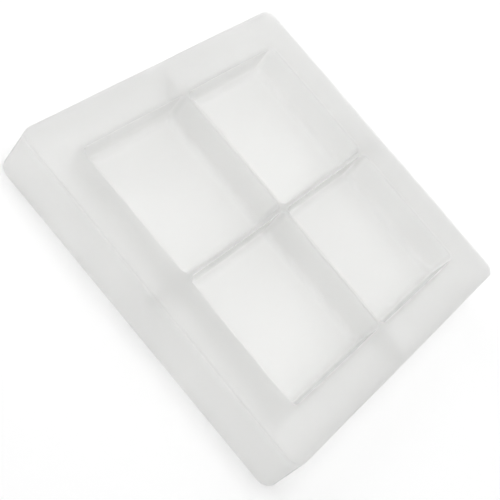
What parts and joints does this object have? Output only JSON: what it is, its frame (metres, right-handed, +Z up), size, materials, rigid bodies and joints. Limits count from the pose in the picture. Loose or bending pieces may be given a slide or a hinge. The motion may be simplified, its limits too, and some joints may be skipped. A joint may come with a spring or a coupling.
{
  "type": "silicone soap mould",
  "caption": "Square soap mould of milky translucent silicone: bar wells hung from a flat rim that stands on an outer skirt, open underneath.",
  "frame": {"origin": "middle of the mould in plan, on the surface its skirt stands on", "axes": "+Z up, +Y from the front side to the back side, +X from the left side to the right side"},
  "size_m": [0.1814, 0.1814, 0.026],
  "materials": {
    "silicone": "frosted milky translucent silicone, satin"
  },
  "bodies": {
    "root": {"rim_front": "silicone", "rim_right": "silicone", "rim_back": "silicone", "rim_left": "silicone", "skirt_front": "silicone", "skirt_right": "silicone", "skirt_back": "silicone", "skirt_left": "silicone", "well_wall_front": "silicone", "well_wall_right": "silicone", "well_wall_back": "silicone", "well_wall_left": "silicone", "divider_front": "silicone", "divider_right": "silicone", "divider_back": "silicone", "divider_left": "silicone", "rib_front": "silicone", "rib_right": "silicone", "rib_back": "silicone", "rib_left": "silicone", "well_floor_front_left": "silicone", "well_floor_front_right": "silicone", "well_floor_back_right": "silicone", "well_floor_back_left": "silicone"}
  },
  "joints": []
}
